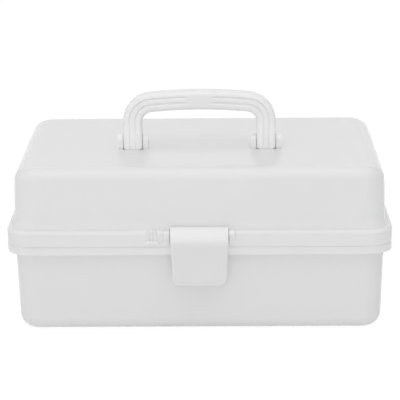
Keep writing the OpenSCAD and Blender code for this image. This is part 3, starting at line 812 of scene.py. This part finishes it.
        hollow, front = latch.barrel_r + latch.back_gap, rim - 9.0 * MM
        high = pin[1] + latch.barrel_r + lid.cove_h
        round_back = arc(pin, hollow, -90, 66, 44) - np.array([0.0, 0.03 * MM])
        room = np.concatenate([[[front, pin[1] - hollow]], round_back,
                               [[round_back[-1, 0], high], [front, high]]])
        under_x, lip = ear_x - 0.1 * MM, s.shell.parting_z + s.base.lip_h
        under = block((-under_x, rim + s.base.inset_top - s.shell.wall / 2, skirt - PAST),
                      (under_x, rim + inner + s.shell.wall, lip + 0.6 * MM), 0.2 * MM)
        return ([seat, hood, ears], [[slab(room, -cut_x, cut_x, 0.01 * MM)], [under]],
                [bore(pin, -ear_x - PAST, ear_x + PAST, latch.pin_r + 0.04 * MM)])

    def handle_lugs(self, s):
        """The handle's lugs with the pads under them, and the wells for the ends of its legs and the pins'
        bores.
        """
        lid, grip, pivot = s.lid, s.handle, axis_of("handle_pin_left")
        top = s.shell.parting_z + lid.top_rise
        pad_z, pad_y, foot_x = top - s.shell.wall, 8.0 * MM, (grip.width - grip.grip_w) / 2
        near = grip.grip_w / 2 + 0.15 * MM
        far = near + lid.lug_w
        lug = np.concatenate([[[pivot[0] - lid.lug_r, top - PAST], [pivot[0] + lid.lug_r, top - PAST]],
                              arc(pivot, lid.lug_r, 0, 180, 36)])
        lugs = both_sides([slab(lug, foot_x + a, foot_x + b, 0.7 * MM)
                           for a, b in ((-far, -near), (near, far))])
        pads = both_sides([block((foot_x - far, pivot[0] - pad_y, pad_z - 2.2 * MM),
                                 (foot_x + far, pivot[0] + pad_y, pad_z + 0.5 * MM), 0.8 * MM)])
        soft = grip.foot_round
        sweep = math.hypot(grip.grip_d / 2 - soft, grip.foot_drop - soft) + soft
        well_x = near - 0.03 * MM
        wells = both_sides([rod(pivot, foot_x - well_x, foot_x + well_x, sweep + 0.15 * MM, 0.02 * MM, 72)])
        return [lugs, pads], [wells, [bore(pivot, -2 * foot_x, 2 * foot_x, grip.pin_r + 0.04 * MM)]]

    def tab(self, s):
        """The ribbed tab on the rim: a ledge with a post on it, and three upright ribs."""
        tab, rim = s.tab, -s.shell.rim_d / 2
        low, high = s.shell.parting_z + s.lid.gap + tab.rise, s.shell.parting_z + s.lid.rim_rise + tab.over
        mid, half, rib, ledge = low + tab.ledge_t, tab.width / 2, tab.width / 5, tab.ledge_w / 2
        shelf = block((-tab.x - ledge, rim - 1.4 * MM, low), (-tab.x + ledge, rim + PAST, mid), 0.45 * MM)
        post_x, left = half - 0.05 * MM, -tab.x - half
        post = block((-tab.x - post_x, rim + 0.4 * MM, mid - 0.6 * MM),
                     (-tab.x + post_x, rim + 3.0 * MM, high - 0.1 * MM), 0.4 * MM)
        bars = [block((left + i * rib, rim - 0.8 * MM, mid - 0.5 * MM),
                      (left + (i + 1) * rib, rim + 1.1 * MM, high), 0.4 * MM) for i in (0, 2, 4)]
        return [[shelf], [post], bars]


class ARTBOX_OT_trays(Operator):
    """Makes the two trays: rounded compartments with soft rims, and bosses for the arms' pins"""
    bl_idname = "artbox.trays"
    bl_label = "Trays"

    def execute(self, context):
        s = settings()
        finish = plastic("frosted tray", tuple(s.finish.tray), 0.24, 0.12, 0.012, 6.0 * MM)
        rows = {"upper_tray": (s.tray.upper_cells, s.tray.upper_row, ("upper_front", "lid_pivot")),
                "lower_tray": (s.tray.lower_cells, s.tray.lower_row, ("lower_front", "lower_rear"))}
        for node, (cells, row, pins) in rows.items():
            pivots = [axis_of(f"{pin}_pin_right") for pin in pins]
            made = self.tray(s.tray, node, cells, row, pivots, finish)
            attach(made, node)
            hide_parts(node)
        return {"FINISHED"}

    def tray(self, s, node, cells, row, pivots, finish):
        """One tray: a rounded block, hollowed by two rows of compartments, with a boss at each pivot."""
        low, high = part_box(node)
        end, front, back, floor, top = high[0], low[1], high[1], low[2], high[2]
        body = capped(np.concatenate([rounded_edge(0, 0, s.corner, s.foot_edge, 1, 6),
                                      rounded_edge(0, top - floor, s.corner, s.lip, -1, 6)[:, ::-1]], 1),
                      0.5 * MM, False)
        outer = moved(loft(rounded_rings(end, (back - front) / 2, *body, 10)), 0, (front + back) / 2, floor)
        split = front + s.wall + row
        pans = self.row(s, cells, end, front + s.wall, split, floor, top)
        pans += self.row(s, cells, end, split + s.rib, back - s.wall, floor, top)
        face = end - s.wall - s.boss_len
        bosses = both_sides([rod(at, face, end - s.wall / 2, s.boss_r) for at in pivots])
        bores = both_sides([bore(at, face - PAST, end + PAST, s.bore_r) for at in pivots])
        return moulded(node + "_moulding", outer, [bosses], [bores], finish, [pans])

    def row(self, s, cells, end, front, back, floor, top):
        """The hollows of one row: rounded floors, upright walls, and rims that flare by a quarter round."""
        inner, corner, height = 2 * (end - s.wall), s.corner - s.wall, top - floor
        width = (inner - (cells - 1) * s.rib) / cells
        t = quarter(5)
        widen = s.flare * (1 - np.cos(t))
        flare = np.stack([-widen, height - s.flare * (1 - np.sin(t)), corner + widen])
        ground = capped(rounded_edge(0, s.wall, corner, s.floor_edge, 1, 8), 0.5 * MM, False)
        rim = [[-s.flare], [height + PAST], [corner + s.flare]]
        profile = np.concatenate([ground, flare, rim], 1)
        pan = rounded_rings(width / 2, (back - front) / 2, *profile, 8)
        middle = -inner / 2 + width / 2 + np.arange(cells) * (width + s.rib)
        return [moved(loft(pan), x, (front + back) / 2, floor) for x in middle]


class ARTBOX_OT_latch(Operator):
    """Makes the latch: a barrel that runs into a tapered face, with side flanges and a bead that snaps"""
    bl_idname = "artbox.latch"
    bl_label = "Latch"

    def execute(self, context):
        s = settings()
        latch, rim, pin = s.latch, -s.shell.rim_d / 2, axis_of("latch_pin")
        half, tip, thick = latch.width / 2, latch.tip_width / 2, latch.thickness
        foot, face, back = pin[1] - latch.drop, pin[0] - latch.face_out, rim - 0.5 * MM
        x, drawn = self.stations(latch)
        behind = np.where(half - np.abs(x) < thick, back, face + thick)
        rings = np.stack([self.section(latch, pin, face, at, foot, d) for at, d in zip(behind, drawn)])
        skin = np.concatenate([np.broadcast_to(x[:, None, None], rings.shape[:2] + (1,)), rings], -1)
        skin = self.tapered(skin, half, tip, foot, pin[1], latch.tip_corner)
        top, root, neck = s.shell.parting_z - s.base.flange_h - s.lid.gap, face + PAST, back + 0.2 * MM
        bead = np.array([[root, top - 3.2 * MM], [neck, top - 3.0 * MM], [rim, top - 2.0 * MM],
                         [rim, top - 0.6 * MM], [neck, top], [root, top]])
        catch = [slab(bead, -tip + thick, tip - thick, 0.4 * MM)]
        hole = [bore(pin, -half - PAST, half + PAST, latch.pin_r + 0.08 * MM)]
        # Painted highlight: the barrel, above the pin, turns to the lighter fittings tint; the face below
        # keeps the latch's darker tint.
        made = moulded("latch_moulding", loft(skin), [catch], [hole], milky_finish_painted_light(
            "milky latch", s.finish.latch, pin[1] - 11.0 * MM, pin[1] - 2.0 * MM, s.finish.fittings))
        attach(made, "latch")
        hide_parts("latch")
        return {"FINISHED"}

    def stations(self, latch):
        """Where the sections lie along the width, and how far each is drawn in at the rims."""
        half, rounding = latch.width / 2, 6
        place, drawn = rounded_ends(-half, half, latch.edge, rounding)
        flange = -half + latch.thickness + np.array([-0.05, 0.05]) * MM
        bends = flange[1] + np.linspace(0.3, 4.6, 8) * MM
        left = np.concatenate([place[:rounding + 1], flange, bends, np.linspace(bends[-1], 0, 5)[1:]])
        draw = np.concatenate([drawn[:rounding + 1], np.zeros(len(left) - rounding - 1)])
        return np.concatenate([left, -left[-2::-1]]), np.concatenate([draw, draw[-2::-1]])

    def section(self, latch, pin, face, behind, foot, drawn):
        """The latch's outline at one place along its width: barrel, brow, face, rounded foot and back.

        The brow is a cubic Bezier curve that leaves the barrel behind its top, almost level, and
        meets the face upright. The face dips back a little over its first third, so that the bead
        along the foot stands proud of it.
        """
        r, lip = latch.barrel_r, latch.lip_r
        dip, dip_share = 0.2 * MM, 0.35  # how deep the face dips, and over which share of its height
        tall = 2.6  # height of the foot's bead, in its radii
        top_turn, leave = 421, np.array([-0.95, -0.31])  # where and which way the brow leaves the barrel
        start = 180 + math.degrees(math.acos(max(-1.0, min(1.0, -(behind - pin[0]) / r))))
        barrel = arc(pin, r, start, top_turn, 46)
        brim = pin[1] - latch.brow
        guide = np.array([barrel[-1], barrel[-1] + 0.6 * r * leave, [face, brim + 0.8 * latch.brow],
                          [face, brim]])
        t = np.linspace(0, 1, 22)[1:, None]
        brow = sum(many * (1 - t) ** (3 - i) * t ** i * guide[i] for i, many in enumerate((1, 3, 3, 1)))
        t = np.linspace(0, 1, 20)
        front = np.stack([face + dip * eased(np.clip(t / dip_share, 0, 1)),
                          brim + (foot + tall * lip - brim) * t], -1)[1:]
        u = np.linspace(0, 1, 7)[1:]
        swell = np.stack([face + dip * (1 - eased(u)), foot + lip * (tall - (tall - 1) * u)], -1)
        under = arc((face + lip, foot + lip), lip, 180, 270, 8)[1:]
        heel = np.array([[behind - 0.5 * MM, foot], [behind - 0.15 * MM, foot + 0.15 * MM]])
        low = foot + 0.5 * MM
        up = np.stack([np.full(20, behind), low + (barrel[0, 1] - low) * t], -1)[:-1]
        return drawn_in(np.concatenate([barrel, brow, front, swell, under, heel, up]), [drawn])[0]

    def tapered(self, skin, half, tip, foot, top, corner):
        """Narrows the latch towards its foot in a straight line, and rounds its lower corners."""
        x, y, z = skin[..., 0], skin[..., 1], skin[..., 2]
        share = np.clip((top - z) / (top - foot), 0, 1)
        narrow = x / half * (half + (tip - half) * share)
        over = np.clip(np.abs(x) / half * tip - (tip - corner), 0, corner)
        lift = corner - np.sqrt(corner ** 2 - over ** 2)
        return np.stack([narrow, y, z + lift * share ** 2], -1)


class ARTBOX_OT_handle(Operator):
    """Makes the handle: a crowned grip and two legs with two grooves that fade into a smooth panel"""
    bl_idname = "artbox.handle"
    bl_label = "Handle"

    def execute(self, context):
        s = settings()
        grip, pivot = s.handle, axis_of("handle_pin_left")
        half_w, half_d = grip.grip_w / 2, grip.grip_d / 2
        path, out, draw = self.path(grip, pivot, s.shell.parting_z + s.lid.top_rise)
        across, depth = self.section(grip).T
        flat = np.sign(depth) * (np.abs(np.abs(depth) - half_d) < 1e-6)
        grooves = self.grooves(grip, pivot[1], path, across[None])
        depth = depth * (1 - draw[:, None] / half_d) - flat * grooves
        narrow = across * (1 - draw[:, None] / half_w)
        x, z = (path[:, i, None] - out[:, i, None] * narrow for i in (0, 1))
        rings = np.stack([x, pivot[0] + depth, z], -1)
        foot_x, reach = (grip.width - grip.grip_w) / 2, half_w + PAST
        holes = both_sides([bore(pivot, foot_x - reach, foot_x + reach, grip.pin_r + 0.08 * MM)])
        # Painted light: the legs turn to a lighter tint towards their lower ends, against the shade next to
        # the lid and its lugs.
        made = moulded("handle_moulding", loft(rings), [], [holes], milky_finish_painted_light(
            "milky handle", s.finish.fittings, pivot[1] + 28.0 * MM, pivot[1] + 4.0 * MM, s.finish.feet_painted_light))
        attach(made, "handle")
        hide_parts("handle")
        return {"FINISHED"}

    def grooves(self, grip, pivot_z, path, across):
        """How deep the two grooves are: a bell curve across each, which fades at the panel and the feet.

        The panel's ends are oval, because the fade starts earlier along the section's middle. On the
        legs the grooves lie further in by the lean, and are shallower.
        """
        fading, bulge, above_legs = 5.0 * MM, 0.8, 20.0 * MM
        foot_start, foot_fading = -8.0 * MM, 2.0 * MM
        leg_top, leaning, shallower = 30.0 * MM, 12.0 * MM, 0.4
        rise = path[:, 1, None] - pivot_z
        reach = (np.abs(path[:, 0, None]) - grip.panel) / fading
        oval = reach + bulge * (1 - (across / (grip.grip_w / 2)) ** 2)
        fade = eased(np.where(rise > above_legs, np.clip(oval, 0, 1), 1.0))
        fade = fade * np.clip((rise - foot_start) / foot_fading, 0, 1)
        lean = np.clip((leg_top - rise) / leaning, 0, 1)
        place = across + grip.grip_w / 2 - grip.groove_lean * lean
        bells = sum(np.exp(-1.6 * ((place - at) / grip.groove_w) ** 2)
                    for at in (grip.groove_outer, grip.groove_inner))
        return grip.groove_depth * bells * fade * (1 - shallower * lean)

    def path(self, grip, pivot, lid_top):
        """The centre line from foot to foot, its outward directions, and how far each section is drawn in.

        Each leg is straight, and a corner arc turns it into the crown's wide arc. Round a foot the
        section draws in by a quarter circle: height = -r sin c, drawn in = r (1 - cos c).
        """
        half, r = (grip.width - grip.grip_w) / 2, grip.foot_round
        top = min(lid_top + grip.rise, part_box("handle")[1].z)
        crown_z, cx = top - grip.crown, grip.width / 2 - grip.corner
        cz = crown_z + math.sqrt((grip.crown - grip.corner) ** 2 - cx ** 2)
        lean = 90 + math.degrees(math.asin(cx / (grip.crown - grip.corner)))
        c = np.radians(np.linspace(90, 0, 9))
        ankle = pivot[1] - grip.foot_drop + r
        rise = np.concatenate([ankle - r * np.sin(c), np.linspace(ankle, cz, 17)[1:]])
        leg = np.stack([np.full(len(rise), -half), rise], -1)
        corner = arc((-cx, cz), grip.corner - grip.grip_w / 2, 180, lean, 26)[1:]
        crown = arc((0, crown_z), grip.crown - grip.grip_w / 2, lean, 90, 46)[1:]
        left = np.concatenate([leg, corner, crown])
        turn = [np.full(len(rise), 180.0), np.linspace(180, lean, 26)[1:], np.linspace(lean, 90, 46)[1:]]
        turn = np.radians(np.concatenate(turn))
        out = np.stack([np.cos(turn), np.sin(turn)], -1)
        draw = np.concatenate([r * (1 - np.cos(c)), np.zeros(len(left) - len(c))])
        flip = np.array([-1.0, 1.0])
        return (np.concatenate([left, left[-2::-1] * flip]), np.concatenate([out, out[-2::-1] * flip]),
                np.concatenate([draw, draw[-2::-1]]))

    def section(self, grip):
        """A rounded rectangle: fine steps over the two faces that carry the grooves."""
        a, b, r = grip.grip_w / 2, grip.grip_d / 2, grip.section_r
        fine, coarse = np.linspace(-a + r, a - r, 44)[1:-1], np.linspace(-b + r, b - r, 6)[1:-1]
        end, face = np.full(len(coarse), a), np.full(len(fine), b)
        right, top = np.stack([end, coarse], -1), np.stack([fine[::-1], face], -1)
        return np.concatenate([
            right, arc((a - r, b - r), r, 0, 90, 9), top, arc((-a + r, b - r), r, 90, 180, 9),
            -right, arc((-a + r, -b + r), r, 180, 270, 9), -top, arc((a - r, -b + r), r, 270, 360, 9)])


class ARTBOX_OT_hardware(Operator):
    """Gives the arms, the pivot pins and the steel pins their finishes"""
    bl_idname = "artbox.hardware"
    bl_label = "Arms and pins"

    def execute(self, context):
        tint = np.array(settings().finish.fittings)
        arms = plastic("arm plastic", tuple(tint * 0.97), 0.3, 0.16, 0.015, 6.0 * MM)
        pins = plastic("pin plastic", tuple(tint * 0.93), 0.26, 0.1, 0.015, 6.0 * MM)
        wire = steel("pin steel", tuple(settings().finish.steel))
        for name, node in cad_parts.items():
            if "arm" in name:
                node.data.materials[0] = arms
            elif name.startswith(("hinge_pin", "latch_pin")):
                node.data.materials[0] = wire
            elif "pin" in name:
                node.data.materials[0] = pins
        return {"FINISHED"}


class ARTBOX_OT_studio(Operator):
    """Makes the white studio: floor, sky, soft lamps and the camera"""
    bl_idname = "artbox.studio"
    bl_label = "Studio"

    def execute(self, context):
        s = settings().studio
        box = (0.0, 0.0, 0.1)
        self.floor(s)
        self.sky(s)
        self.lamp("overhead", (0.0, -0.57, 2.15), (0.0, -0.57, 0.0), 3.0, 2.6, s.top_lamp)
        self.lamp("behind", (0.0, 2.2, 1.55), box, 3.0, 1.2, s.back_lamp)
        self.lamp("left", (-2.6, -1.0, 1.1), box, 2.0, 1.6, s.side_lamp)
        self.lamp("front", (0.0, -3.2, 1.15), box, 5.0, 2.0, s.front_lamp)
        near = self.lamp("near", (-0.25, -2.5, 0.95), box, 1.6, 1.0, s.near_lamp)
        near.visible_glossy = False
        near.data.use_shadow = False
        self.camera(s)
        return {"FINISHED"}

    def clear(self, recipe):
        """How much a ray comes from the camera, a reflection or a clear skin: 0 or 1."""
        camera, glossy, through = (recipe.node("ShaderNodeLightPath", output=f"Is {kind} Ray")
                                   for kind in ("Camera", "Glossy", "Transmission"))
        seen = camera + glossy + through
        return seen.math("MINIMUM", seen, 1.0)

    def floor(self, s):
        """A wide white floor that shows as white, apart from the shadow's share."""
        surface = rounded_rings(6.0, 6.0, [0.0], [0.0], [0.5], 12)[0]
        made = piece("floor", (surface, [list(range(len(surface)))]))
        look, recipe = material("white floor")
        grey = (s.floor_tone, s.floor_tone, s.floor_tone, 1.0)
        plain = recipe.node("ShaderNodeBsdfDiffuse", {}, {"Color": grey, "Roughness": 0.0})
        glow = recipe.node("ShaderNodeEmission", {}, {"Color": WHITE, "Strength": s.floor_glow})
        share = self.clear(recipe) * (1.0 - s.shadow)
        recipe.finish(recipe.node("ShaderNodeMixShader", {}, {0: share, 1: plain, 2: glow}))
        made.data.materials.append(look)

    def sky(self, s):
        """White where it is seen, and a softer even light on the object."""
        world = bpy.data.worlds.new("white studio")
        bpy.context.scene.world = world
        world.use_nodes = True
        recipe = Recipe(world.node_tree, "ShaderNodeOutputWorld")
        strength = self.clear(recipe) * (1.0 - s.dome) + s.dome
        recipe.finish(recipe.node("ShaderNodeBackground", {}, {"Color": WHITE, "Strength": strength}))

    def lamp(self, name, place, aim, width, depth, radiance):
        """A flat soft lamp: its power is its radiance times pi times its area."""
        light = bpy.data.lights.new(name, "AREA")
        light.shape = "RECTANGLE"
        light.size, light.size_y = width, depth
        light.energy = radiance * math.pi * width * depth
        made = bpy.data.objects.new(name, light)
        bpy.context.scene.collection.objects.link(made)
        made.location = place
        made.rotation_euler = (Vector(aim) - Vector(place)).to_track_quat("-Z", "Y").to_euler()
        made.visible_camera = False
        return made

    def camera(self, s):
        """The camera looks along the azimuth and the elevation, then tilts by the roll."""
        level = math.cos(s.elevation)
        ahead = Vector((-math.sin(s.azimuth) * level, math.cos(s.azimuth) * level, -math.sin(s.elevation)))
        right = ahead.cross(Vector((0, 0, 1))).normalized()
        up = right.cross(ahead)
        x = right * math.cos(s.roll) + up * math.sin(s.roll)
        y = up * math.cos(s.roll) - right * math.sin(s.roll)
        place = Vector((s.aim_x, 0.0, s.aim_z)) - ahead * s.distance
        data = bpy.data.cameras.new("camera")
        data.sensor_width, data.lens = s.sensor, s.lens
        data.clip_start, data.clip_end = 0.05, 50.0
        made = bpy.data.objects.new("camera", data)
        bpy.context.scene.collection.objects.link(made)
        made.matrix_world = Matrix.Translation(place) @ Matrix((x, y, -ahead)).transposed().to_4x4()
        bpy.context.scene.camera = made


# ---------------------------------------------------------------- add-on

class ArtBox(PropertyGroup):
    """Everything that can be changed."""
    shell: PointerProperty(type=ShellSizes, name="Shells", description="Sizes that base and lid share")
    base: PointerProperty(type=BaseSizes, name="Base", description="Sizes of the base")
    lid: PointerProperty(type=LidSizes, name="Lid", description="Sizes of the lid")
    tab: PointerProperty(type=TabSizes, name="Tab", description="Sizes of the tab on the lid's rim")
    tray: PointerProperty(type=TraySizes, name="Trays", description="Sizes of the trays")
    latch: PointerProperty(type=LatchSizes, name="Latch", description="Sizes of the latch")
    handle: PointerProperty(type=HandleSizes, name="Handle", description="Sizes of the handle")
    finish: PointerProperty(type=Finishes, name="Finishes", description="Colours of plastics and steel")
    studio: PointerProperty(type=StudioSettings, name="Studio", description="Camera, lamps and floor")


class ARTBOX_PT_panel(Panel):
    """Lists the pieces and the settings in the sidebar"""
    bl_idname = "ARTBOX_PT_panel"
    bl_label = "Art box"
    bl_space_type = "VIEW_3D"
    bl_region_type = "UI"
    bl_category = "Art box"

    def draw(self, context):
        for maker in MAKERS:
            self.layout.operator(maker.bl_idname)
        for part in ArtBox.__annotations__:
            group = getattr(context.scene.art_box, part)
            box = self.layout.box()
            for name in group.__annotations__:
                box.prop(group, name)


GROUPS = (ShellSizes, BaseSizes, LidSizes, TabSizes, TraySizes, LatchSizes, HandleSizes, Finishes,
          StudioSettings, ArtBox)
MAKERS = (ARTBOX_OT_studio, ARTBOX_OT_base, ARTBOX_OT_lid, ARTBOX_OT_trays, ARTBOX_OT_latch,
          ARTBOX_OT_handle, ARTBOX_OT_hardware)
CLASSES = GROUPS + MAKERS + (ARTBOX_PT_panel,)


def register():
    for made in CLASSES:
        bpy.utils.register_class(made)
    bpy.types.Scene.art_box = PointerProperty(type=ArtBox, name="Art box", description="The box's settings")


def unregister():
    del bpy.types.Scene.art_box
    for made in reversed(CLASSES):
        bpy.utils.unregister_class(made)


def main():
    """Registers the add-on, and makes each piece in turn."""
    register()
    bpy.context.scene.view_settings.view_transform = "Standard"
    for maker in MAKERS:
        group, name = maker.bl_idname.split(".")
        getattr(getattr(bpy.ops, group), name)()


if __name__ == "__main__":
    main()
